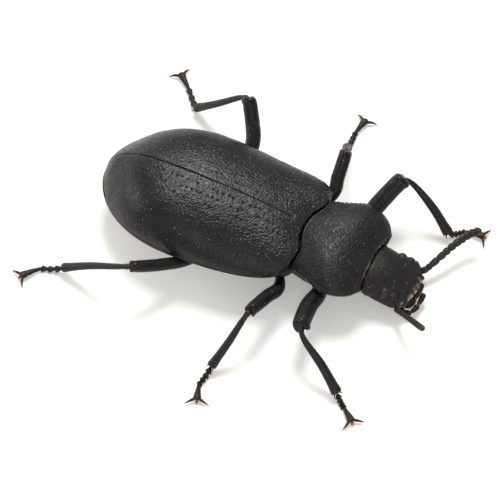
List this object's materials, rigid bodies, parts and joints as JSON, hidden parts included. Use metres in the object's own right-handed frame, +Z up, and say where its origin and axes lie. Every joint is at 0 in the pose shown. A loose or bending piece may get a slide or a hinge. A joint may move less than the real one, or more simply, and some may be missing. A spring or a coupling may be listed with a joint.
{
  "type": "serrated darkling beetle",
  "caption": "Life-size still model of a serrated darkling beetle standing on its legs, matte black, with saw-edged pronotum and beaded antennae.",
  "frame": {"origin": "on the floor, under the middle of the box around the whole animal, feet and antennae included", "axes": "+Z up from the floor; the beetle faces -Y, and its left side is towards +X"},
  "size_m": [0.0264, 0.0282, 0.0057],
  "materials": {
    "pronotum": "matte black, densely pitted",
    "wing_cases": "matte black, finely wrinkled and pitted",
    "underside": "matte black",
    "head": "matte black, densely pitted",
    "eyes": "glossy black",
    "mouth": "satin dark brown",
    "feelers": "satin black",
    "legs": "satin black",
    "feet": "satin black-brown"
  },
  "bodies": {
    "root": {"prothorax": "pronotum", "wing_case_left": "wing_cases", "wing_case_right": "wing_cases", "thorax_underside": "underside", "abdomen": "underside", "head": "head", "eye_left": "eyes", "eye_right": "eyes", "labrum": "mouth", "mandible_left": "mouth", "mandible_right": "mouth", "palp_left": "feelers", "palp_right": "feelers", "antenna_left": "feelers", "antenna_right": "feelers", "front_left_femur": "legs", "front_left_tibia": "legs", "front_left_tarsus": "feet", "front_right_femur": "legs", "front_right_tibia": "legs", "front_right_tarsus": "feet", "middle_left_femur": "legs", "middle_left_tibia": "legs", "middle_left_tarsus": "feet", "middle_right_femur": "legs", "middle_right_tibia": "legs", "middle_right_tarsus": "feet", "hind_left_femur": "legs", "hind_left_tibia": "legs", "hind_left_tarsus": "feet", "hind_right_femur": "legs", "hind_right_tibia": "legs", "hind_right_tarsus": "feet"}
  },
  "joints": []
}
